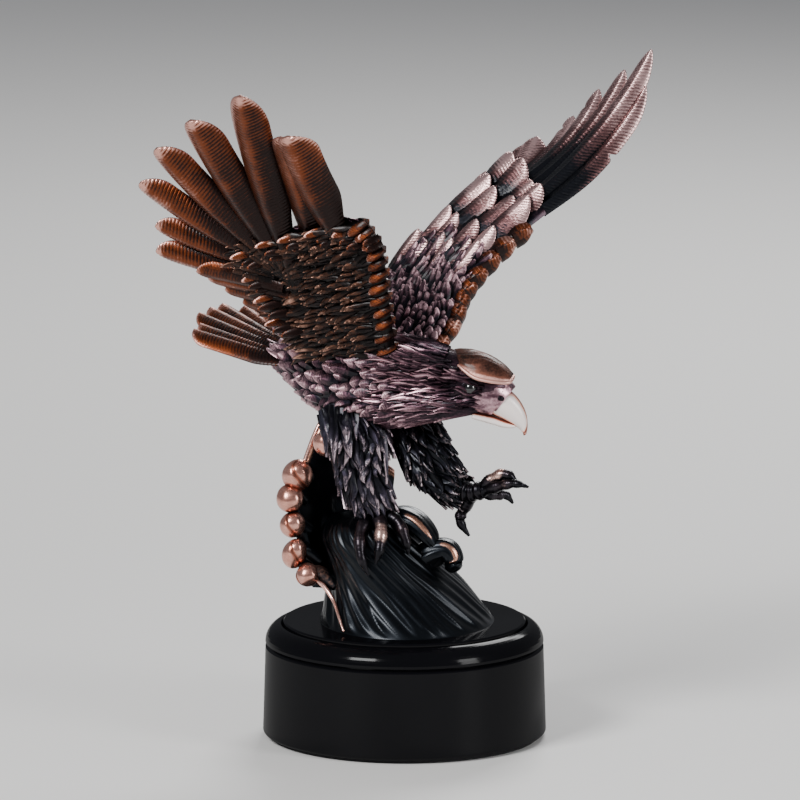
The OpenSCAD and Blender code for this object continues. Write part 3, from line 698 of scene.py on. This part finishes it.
def right_wing():
    panel = Panel(RIGHT_FRONT, RIGHT_BACK, RIGHT_FACE, 5.5)
    below = -panel.face
    core = Skin()
    panel.core(core)
    core.make("right_arm", UMBER, ["right_wing"])
    # The primaries carry painted highlights on their rims and tips, and painted light across each blade,
    # lighter on one side and darker on the other.
    primaries = Skin()
    blades(primaries, RIGHT_ROOTS, RIGHT_TIPS, 7, below, 0.55, cols=19, thick=2.3, base=0.55,
           wider=1.16, round_at=0.78, quill=0.8, camber=0.6, sweep=-2.0, pitch=1.5, depth=0.42,
           slant=0.2, wear=(0.1, 0.58), glint=0.75, fat=0.1, lean=-0.32)
    # One feather more, behind the first ones
    inner = -below * 2.2
    primaries.feather([-37, -36, 206] + inner, [-50, -62, 255] + inner, below, 15, rows=150, cols=19,
                      thick=2.0, round_at=0.75, quill=0.7, pitch=1.5, depth=0.4, slant=0.2,
                      wear=(0.0, 0.5), glint=0.4, fat=0.1, lean=-0.2)
    primaries.make("right_primaries", ORANGE, ["right_wing"])
    secondaries = Skin()
    blades(secondaries, RIGHT_INNER_ROOTS, RIGHT_INNER_TIPS, 6, below, 1.0, drop=2.0, cols=15,
           thick=2.0, wider=0.9, round_at=0.75, quill=0.8, pitch=1.4, depth=0.3, wear=(0.0, 0.45),
           fat=0.1, lean=-0.1, glint=0.5)
    secondaries.make("right_secondaries", ORANGE, ["right_wing"])

    def under(u, v):
        return panel.point(v + 0.1 * u * v, u, -1)

    def over(u, v):
        return panel.point(v + 0.22 * u * v, u, 1)

    middle = between(under, over)
    # Two rows over the primaries' roots
    wrist = Skin()
    for start, reach, lift in ((-0.2, 0.15, 1.4), (-0.28, 0.05, 2.6)):
        for k in range(12):
            t = k / 11.5
            root, tip = curve(RIGHT_ROOTS, t)[0], curve(RIGHT_TIPS, t)[0][:3]
            way = tip - root
            end = root + way * (reach + spread(0.03)) + below * lift
            wrist.feather(root + way * start + below, end, below, 5.6, thick=1.4, rows=40, cols=9,
                          round_at=0.6, point=0.3, quill=0.7, pitch=1.3, depth=0.2, wear=(0.05, 0.42),
                          glint=0.15, fat=0.1)
    wrist.make("right_wrist_coverts", UMBER, ["right_wing"])
    coverts = Skin()
    look = dict(rows=18, cols=7, thick=1.3, camber=0.4, base=0.5, point=0.5, wear=(-0.1, 0.45),
                glint=0.6, wild=0.3, vary=0.3)
    shingle(coverts, under, middle, np.linspace(0.08, 0.8, 11), (0, 1), lambda x: 10 + 2 * x, 3.1, 1.6,
            pitch=1.1, depth=0.12, ripple=0.3, **look)
    shingle(coverts, under, middle, [0.84, 0.93], (0.62, 0.98), 10, 3.1, 1.8, **look)
    # Three layers of greater coverts, of which the lower two are darker
    greater = Skin()
    for k, end in enumerate(GREATER_TIPS):
        tip = np.array(end) + below * 1.4
        for shift, reach in ((0.0, 14.0), (2.8, 11.0), (5.2, 10.0)):
            reach = min(reach, 5.5 + 3.5 * k)
            back = unit([0.93, -0.1 + spread(0.08), 0.1 + spread(0.12)]) * reach
            place = tip + back * 0.12 * shift - [0, 0, shift] + back * spread(0.1)
            greater.feather(place + back - below * 3.5, place, below, 4.4, thick=1.7, rows=34, cols=13,
                            base=0.75, quill=0.5, camber=0.6, bend=1.0, pitch=1.1, depth=0.14,
                            wear=(-0.4, 0.15 if shift else 0.55), glint=0.35 if shift else 1.0, fat=0.1)
    greater.make("right_greater_coverts", ORANGE, ["right_wing"])
    coverts.make("right_coverts_under", UMBER, ["right_wing"])
    upper = Skin()
    shingle(upper, over, middle, np.linspace(0.04, 0.56, 8), (0, 1), lambda x: 7 + 4 * x,
            lambda x: 4.6 + 1.5 * x, 1.1, rows=10, cols=7, thick=1.1, camber=0.4, pitch=0.9,
            wear=(0.05, 0.7), wild=0.15)
    shingle(upper, over, middle, [0.6, 0.76], (0, 1), 16, 8.0, 1.8, rows=40, cols=11, thick=1.4,
            quill=0.6, camber=0.4, round_at=0.75, pitch=1.3, depth=0.24, wear=(0.1, 0.75), wild=0.08)
    upper.make("right_coverts_top", ROSE, ["right_wing"])
    rim = Skin()
    for k in range(13):
        s = 0.04 + 0.93 * k / 12
        for side, out in ((-1, below), (1, -below)):
            root = panel.point(s, 0.0, side)[0] + out * 0.4
            nose = unit(curve(panel.front, s)[0] - curve(panel.back, s)[0])
            tip = root - nose * (6.8 + spread(0.8)) - UP * (1.0 + spread(0.5)) + out * 3.4
            rim.feather(root + nose * 0.8, tip, out + nose * 0.5, 4.6, rows=24, cols=11, base=0.8,
                        camber=0.6, bend=1.2, pitch=1.2, depth=0.12, wear=(0.15, 0.5), glint=0.4,
                        fat=0.1)
    rim.make("right_leading_edge", ORANGE, ["right_wing"])


def left_wing():
    panel = Panel(LEFT_FRONT, LEFT_BACK, LEFT_FACE, 5)
    above = panel.face
    core = Skin()
    panel.core(core)
    core.make("left_arm", ROSE, ["left_wing"])
    primaries = Skin()
    blades(primaries, LEFT_ROOTS, LEFT_TIPS, 5, above, 0.8, cols=15, thick=1.9, base=0.8, round_at=0.75,
           point=0.3, quill=0.8, sweep=5, pitch=1.5, depth=0.34, slant=0.7, wear=(-0.25, 0.66),
           splits=2, fat=0.08, glint=0.2, lean=0.1)
    primaries.make("left_primaries", BLUSH, ["left_wing"])
    secondaries = Skin()
    blades(secondaries, LEFT_INNER_ROOTS, LEFT_INNER_TIPS, 8, above, 0.15, drop=2.6, wider=1.1, cols=17,
           thick=1.7, round_at=0.72, point=0.2, quill=0.8, pitch=1.5, depth=0.36, slant=0.7, splits=1,
           wear=(-0.1, 0.52), fat=0.07)
    secondaries.make("left_secondaries", BLUSH, ["left_wing"])

    def over(u, v):
        return panel.point(u, v, 1)

    def under(u, v):
        return panel.point(u, v, -1)

    middle = between(under, over)
    scales = Skin()
    shingle(scales, over, middle, np.linspace(0.0, 0.62, 24), (0.06, 1.0), lambda x: 4.9 + 3.2 * x,
            lambda x: 3.6 + 2.2 * x, 1.4, rows=10, cols=7, thick=1.4, quill=0.5, base=0.7, round_at=0.3,
            point=0.1, pitch=0.9, depth=0.12, wear=(-0.45, 0.62), wild=0.35, vary=0.3, glint=0.4)
    scales.make("left_scales", ROSE, ["left_wing"])
    large = Skin()
    for u, rise, long, wide in ((0.42, 1.8, 17, 9), (0.56, 2.4, 21, 12), (0.7, 3.0, 25, 16),
                                (0.86, 3.6, 20, 15)):
        shingle(large, over, middle, [u, u + 1e-3], (0.14, 1.12), long, wide, rise, rows=64, cols=17,
                quill=0.8, camber=0.4, base=0.55, point=0.1, pitch=1.5, depth=0.34, slant=0.8,
                wear=(-0.15, 0.74), wild=0.12, fat=0.07, glint=0.15, overlap=1.5)
    large.make("left_large_coverts", BLUSH, ["left_wing"])
    lower = Skin()
    shingle(lower, under, middle, np.linspace(0.02, 0.9, 13), (0.06, 1.0), lambda x: 9 + 6 * x,
            lambda x: 4.6 + 3 * x, 1.1, rows=14, cols=7, thick=1.1, camber=0.4, round_at=0.6, pitch=1.2,
            depth=0.12, wear=(0.05, 0.6), wild=0.15)
    lower.make("left_coverts_under", UMBER, ["left_wing"])
    # Overlapping beads along the leading edge, in two rows
    rim = Skin()
    for k in range(10):
        s = 0.02 + 0.81 * k / 9
        root, ahead = curve(panel.front, s - 0.02)[0], curve(panel.front, min(1, s + 0.08))[0]
        way = unit(ahead - root)
        nose = unit(curve(panel.front, s)[0] - curve(panel.back, s)[0])
        for share in (1.1, -0.9):
            out = unit(nose + above * share)
            base = root - nose * 0.9 + out * 0.5
            wide = 7.2 + 2.8 * s
            rim.feather(base, base + way * (8.6 + 1.6 * s) + out * 1.6, out, wide, thick=3.0, rows=32,
                        cols=15, base=0.9, round_at=0.3, quill=0.2, camber=0.6, bend=1.0, pitch=1.5,
                        depth=0.08, slant=0.3, wear=(0.0, 0.74), glint=0.1, fat=0.2)
    rim.make("left_leading_edge", ORANGE, ["left_wing"])


# ---- Head ----

def head():
    core = Skin()
    face = Tube(TRUNK, inset=0.6)
    core.loft(face.rings(np.linspace(0.5, 1, 60), 72), 0.3)
    core.make("head_core", PLUM, ["head"])
    hackles = Skin()
    shingle(hackles, from_head(face), trunk_axis, np.linspace(0.14, 0.42, 12), (0, 1),
            lambda x: 12 + 7 * x, 2.5, 0.7, sink=0.1, rows=30, cols=7, base=0.5, round_at=0.35,
            point=1.0, wear=(0.05, 0.66), wild=0.14, vary=0.25, overlap=0.72, ripple=0.7, glint=0.2,
            keep=clear_of_face)
    hackles.make("head_hackles", PLUM, ["head"], parts=3)
    crown = Skin()
    crown_dome(crown)
    crown.make("head_crown", CROWN, ["head"])
    cere()
    beak()
    lids_and_nostrils()


def clear_of_face(root, tip):
    """Whether a hackle stays off the crown, the head's top from x 18.5 on, and off the eyes"""
    on_crown = root[0] > 18.5 and root[2] > 155 + max(0, 24 - root[0])
    nearest = min(np.linalg.norm(np.subtract(eye, end)) for eye in EYES for end in (root, tip))
    return not on_crown and nearest >= 4.4


def cere():
    """The fleshy base of the beak"""
    skin = Skin()
    t, a = grid(60, 72)
    streaks = 0.8 + 0.1 * np.sin(5 * a + 7 * t) + 0.07 * np.sin(13 * a - 9 * t + 1)
    skin.tube([[26, -27.2, 147, 9.4, 7.4], [32, -28.2, 145.9, 9, 8.4], [35.5, -28.8, 145.2, 7.6, 8.4],
               [38.4, -29.1, 144, 6.3, 8], [39.8, -29.3, 143, 5.4, 7.2]], 60, 72, wear=streaks,
              shape=lambda t, a: (1 + 0.02 * np.sin(9 * a + 6 * t)
                                  + 0.02 * np.sin(23 * a - 11 * t) * (t < 0.7)))
    skin.make("head_cere", PLUM, ["head"])


def beak():
    skin = Skin()
    t, a = grid(80, 48)
    ridges = 1.05 - 1.1 * np.abs(np.sin(a)) ** 4 - 1.2 * step(t, 0.6, 1.0)
    skin.tube([[36, -28.8, 144.6, 5.6, 7], [40, -29.3, 142.6, 5.1, 6.9], [43.2, -29.8, 139.9, 4.2, 6],
               [45.9, -30.3, 136.6, 3.1, 4.4], [47.5, -30.6, 133.2, 1.9, 2.5], [48, -30.9, 130.6, 0.9, 1.1],
               [47.7, -31, 129.3, 0.25, 0.3]], 80, 48, wear=ridges,
              shape=lambda t, a: 1 - 0.28 * np.maximum(np.sin(a), 0) ** 2)
    skin.tube([[27, -28.3, 137.4, 5.4, 1.5], [34, -28.9, 135.6, 4.6, 1.7], [40, -29.6, 133.6, 3.2, 1.4],
               [44.6, -30.1, 132.9, 1.4, 0.7]], 40, 28, cap=0.06,
              wear=0.95 - 1.1 * np.abs(np.sin(circle(28))) ** 3)
    skin.make("head_beak", BEAK, ["head"])


def lids_and_nostrils():
    skin = Skin()
    a = np.linspace(0, TURN, 40)
    for x, y, z in EYES:
        side = -1 if y < -27 else 1
        skin.tube(np.stack([x + 3.3 * np.cos(a), np.full(40, y + side * 1.2), z + 2.7 * np.sin(a),
                            np.full(40, 0.8), np.full(40, 0.8)], -1), 60, 12, top=[0, 1, 0], wear=0.1)
    for side in (-1, 1):
        skin.tube([[37.2, -29 + side * 6.4, 145.6, 0.5, 0.9], [38.6, -29 + side * 6.1, 145.2, 0.8, 1.1],
                   [39.8, -29 + side * 5.6, 144.6, 0.4, 0.8]], 20, 16, wear=-0.3, cap=0.2)
    skin.make("head_lids_and_nostrils", PLUM, ["head"])


def crown_dome(skin):
    """The smooth plate over the crown, whose rim is the brow"""
    s = np.linspace(0, 1, 60)
    middle = curve([[18.0, -24.6], [43.4, -29.7]], s)
    wide = curve([[4.0], [9.4], [11.6], [11.8], [11.0], [8.6], [2.0]], s)
    base = curve([[159.5], [157.0], [154.0], [152.8], [152.2], [152.2], [153.8]], s)
    top = curve([[161.4], [163.0], [163.4], [162.6], [160.6], [157.6], [154.4]], s)
    a = np.linspace(0, math.pi, 41)
    side = np.array([0.18, -0.98])
    rise = np.sin(a) ** 0.85
    edge = np.exp(-(np.minimum(a, math.pi - a) / 0.2) ** 2)
    grain = 0.12 * np.sin(26 * a[None] + 3 * np.sin(9 * s[:, None])) * (1 - edge)
    out = np.cos(a)[None] * (wide + 0.5 * edge[None])
    xy = middle[:, None] + side * out[..., None]
    z = base + (top - base) * rise[None] + 0.5 * edge + grain
    dome = np.concatenate([xy, z[..., None]], -1)
    under_a = np.linspace(1, -1, 15)[1:-1]
    under_xy = middle[:, None] + side * (-wide * 0.86 * under_a[None])[..., None]
    under_z = np.broadcast_to(base[:, None] + 0.2, under_xy.shape[:2] + (1,))
    under = np.concatenate([under_xy, under_z], -1)
    marks = np.concatenate([np.tile(0.35 + 0.75 * edge, (60, 1)), np.full((60, 13), 0.1)], 1)
    skin.loft(np.concatenate([dome, under], 1), marks)
    for rim in (xy[:, 0], xy[:, -1]):
        brow = np.stack([rim[:, 0], rim[:, 1], base[:, 0] + 0.3, np.full(60, 0.75), np.full(60, 0.8)], -1)
        skin.tube(brow, 60, 12, top=[0, 1, 0.2], wear=1.2, cap=0.08)


# ---- Legs ----

def leg(name, rows, toes, node, top, plumes, shank=None):
    """One leg: its feathered part, and the foot with the bare shank where it shows"""
    surface = Tube(rows, top=top, inset=1.6)

    def axis(u, v):
        return curve(rows, np.clip(u, 0, 1))[:, :3]

    core = Skin()
    core.loft(surface.rings(np.linspace(0, 1, 40), 40), 0.05)
    shingle(core, surface.point, axis, np.linspace(0.02, 0.88, 15), (0, 1), 11, 4.2, 2.2, sink=0.3,
            rows=18, cols=9, quill=0.5, round_at=0.3, point=0.9, pitch=1.0, depth=0.12,
            wear=(-0.05, 0.56), wild=0.3, vary=0.3, overlap=0.8, ripple=0.5, glint=0.3)
    core.make(name + "_feathers", plumes, [node])
    foot = Skin()
    if shank:
        foot.tube(shank, 40, 24, wear=0.35, shape=scaly(5))
    for k, toe in enumerate(toes):
        t = np.linspace(0, 1, 60)
        # Each toe is rubbed lighter at its knuckle; the first toe's knuckle is brighter still, a painted
        # highlight.
        knuckle_rub_and_highlight = 0.2 + (0.75 if k == 0 else 0.35) * np.exp(-((t - 0.45) / 0.2) ** 2)
        foot.tube(toe, 60, 24, wear=knuckle_rub_and_highlight[:, None], shape=scaly(4))
    foot.make(name + "_foot", TALON, [node])


def scaly(pads):
    """Bulging joints and fine cross bands along a toe"""
    bands = 22

    def shape(t, a):
        return (1 + 0.1 * np.cos(TURN * pads * t) * (t < 0.85)
                + 0.035 * np.cos(TURN * bands * t) * (t < 0.75))
    return shape


# ---- Wave ----

def wave_body():
    """The solid water, with ridges that twist round it as they rise"""
    body = Skin()
    rows, sides = 180, 360
    twist = 0.021  # radians for each millimetre up
    t = np.linspace(0, 1, rows)
    fine = curve(WAVE, t)
    a = circle(sides)
    flow = a + (fine[:, 2:3] - WAVE[0][2]) * twist
    ridge = (0.030 * (1 - np.abs(np.sin(5.5 * flow + 0.6 * np.sin(3 * a))) ** 0.7)
             + 0.020 * (1 - np.abs(np.sin(11 * flow + 1.3 * np.sin(2 * a + 1))) ** 0.8)
             + 0.008 * np.sin(34 * flow + 2 * np.sin(5 * a)))
    size = 0.975 + ridge * step(t, 0, 0.12)[:, None]
    rings = np.stack([fine[:, 0:1] + fine[:, 3:4] * size * np.cos(a),
                      fine[:, 1:2] + fine[:, 4:5] * size * np.sin(a),
                      np.tile(fine[:, 2:3], sides)], -1)
    body.loft(rings, 0.25 + 9 * (ridge - 0.03))
    body.make("wave_body", DARK, ["wave"], sharp=80)


def wave_sheet(steps):
    """The thin sheet behind the leg. Returns the line along its lip."""
    sheet = Skin()
    t = np.linspace(0, 1, steps)
    fine = curve(SHEET, t)
    foot, crest = fine[:, :3], fine[:, 3:6]
    along = unit(np.gradient(foot + crest, axis=0))
    out = unit(np.cross(along, UP)) * fine[:, 6:7] / 2
    up = np.linspace(0, 1, 60)
    swell = 0.35 * np.sin(9 * up[None] + 14 * t[:, None]) + 0.2 * np.sin(21 * up[None] + 31 * t[:, None])
    thick = (1.3 - 0.85 * up**1.5)[None] + 0.28 * swell
    hollow = out[:, None] * (0.8 * np.sin(math.pi * up))[None, :, None] * 0.5
    line = foot[:, None] + (crest - foot)[:, None] * up[None, :, None] - hollow
    front = line - out[:, None] * thick[..., None]
    back = (line + out[:, None] * thick[..., None])[:, ::-1]
    lip = crest + UP * 0.6
    rise = 0.2 + 0.8 * up**9
    marks = np.tile(np.concatenate([rise, [1.0], rise[::-1]]), (steps, 1))
    sheet.loft(np.concatenate([front, lip[:, None], back], axis=1), marks)
    sheet.make("wave_sheet", DARK, ["wave_back_sheet"], sharp=80)
    return lip


def wave_foam(lip):
    """The foam along the sheet's lip, the ribbon, and a puff over the root of each curl"""
    foam = Skin()
    foam.tube(np.concatenate([lip, np.ones((len(lip), 2))], -1), 90, 16, wear=0.9, cap=0.05)
    foam.tube(RIBBON, 80, 16, wear=0.85, cap=0.05)
    roots = Skin()
    for k, (share, tall, size, wear) in enumerate(PUFFS):
        rows = np.array(CURLS[k], float)
        if k == 0:  # the top puff is smaller and stands further right
            rows[:, 0] += 4.5
            rows[:, 3:] *= 0.82
        puff = rows[1] * (1 - share) + rows[2] * share
        ball(foam, puff[:3] + [0, 0, 0.6], rows[1][3] * size, UP + [0.3, -0.3, 0], tall)
        rows[:, 3:] *= 0.72
        roots.tube(rows[:3], 50, 30, wear=wear, cap=0.12)
    roots.make("wave_foam_roots", DARK, ["foam_curls"])
    foam.make("wave_foam", FOAM, ["foam_curls"])


def ball(skin, middle, r, way, tall):
    """A puff of foam of radius r, creased as it rolls. tall is its height to its width."""
    way = unit(way)
    t = np.sin(np.linspace(-math.pi / 2, math.pi / 2, 44))
    bead = np.sqrt(np.maximum(1 - t**2, 0.0009)) * r
    rows = np.concatenate([middle + way * (t * r * tall)[:, None], bead[:, None], bead[:, None]], -1)
    turn = rng.random() * 6
    long, a = grid(60, 60)
    crease = np.exp(-(np.sin((a - 4.5 * long - turn) / 2) / 0.1) ** 2)
    lobes = 0.04 * np.cos(2 * a + 5 * long + turn) + 0.02 * np.cos(5 * a - 9 * long)
    size = 1 + lobes - 0.07 * crease
    skin.tube(rows, 60, 60, wear=0.58 - 0.4 * crease, shape=lambda t, a: size)


def wave_crests():
    crests = Skin()
    t, a = grid(80, 60)
    # gleam is a painted highlight: a bright band high on the outer side of each crest, added to the wear
    # mark.
    gleam = np.exp(-((a - 0.75) / 0.22) ** 2 - ((t - 0.58) / 0.13) ** 2)
    for rows in CRESTS:
        crests.tube(rows, 80, 60, wear=0.3 + 1.1 * gleam, cap=0.12, shape=ribbed)
    crests.make("wave_crests", DARK, ["wave_front_crest"])


def ribbed(t, a):
    """Ridges that run along a crest"""
    return 1 + 0.05 * np.cos(5 * a + 3 * t) + 0.02 * np.cos(13 * a - 4 * t)


# ---- Stage ----

def stage():
    """A pale floor 24 m wide, and an even grey-blue surrounding"""
    mesh = bpy.data.meshes.new("floor")
    half = 12.0
    corners = [(-half, -half, 0), (half, -half, 0), (half, half, 0), (-half, half, 0)]
    mesh.from_pydata(corners, [], [(0, 1, 2, 3)])
    floor = new_object("floor", mesh)
    floor_paint = Nodes("floor_paint")
    floor_paint.set(base_color=rgb((0.8, 0.79, 0.77)), roughness=0.6)
    mesh.materials.append(floor_paint.material)

    world = bpy.data.worlds.new("studio")
    world.use_nodes = True
    sky = world.node_tree.nodes["Background"]
    sky.inputs["Color"].default_value = rgb((0.78, 0.8, 0.86))
    sky.inputs["Strength"].default_value = 0.27
    bpy.context.scene.world = world


def softbox(name, place, aim, width, height, power):
    """A white rectangular lamp at place that shines towards aim"""
    light = bpy.data.lights.new(name, "AREA")
    light.shape = "RECTANGLE"
    light.size, light.size_y = width, height
    light.energy = power
    lamp = new_object(name, light)
    lamp.location = place
    way = np.asarray(aim, float) - np.asarray(place, float)
    lamp.rotation_euler = direction(way)


def direction(way):
    """The turn that points an object's own -Z along way"""
    return Vector(way).to_track_quat("-Z", "Y").to_euler()


def camera():
    """A long lens from far off, for hardly any perspective"""
    target = np.array([-1.8, 0, 137.4]) * MM
    tilt = math.radians(11.5)
    distance = 7.0
    place = target + distance * np.array([0, -math.cos(tilt), math.sin(tilt)])
    lens = bpy.data.cameras.new("camera")
    lens.lens = 784.8
    lens.sensor_width = 36
    lens.clip_end = 50
    eye = new_object("camera", lens)
    eye.location = place
    eye.rotation_euler = direction(target - place)
    bpy.context.scene.camera = eye


torso()
tail()
right_wing()
left_wing()
head()
leg("right_leg", RIGHT_LEG, RIGHT_TOES, "right_leg", [1, 0, 0], BLUE)
# The raised leg's feathers take the darker copy of the blue patina, which is painted shade.
leg("left_leg", LEFT_LEG, LEFT_TOES, "left_leg", UP, BLUE_IN_SHADE, LEFT_SHANK)
wave_body()
wave_foam(wave_sheet(90))
wave_crests()
stage()
softbox("key", (-0.75, -0.9, 1.0), (0, 0, 0.16), 0.5, 0.5, 22)
softbox("side", (1.0, -0.7, 0.5), (0, 0, 0.14), 0.35, 0.6, 7)
softbox("back", (0.3, 1.1, 0.9), (0, 0, 0.18), 0.6, 0.5, 12)
camera()

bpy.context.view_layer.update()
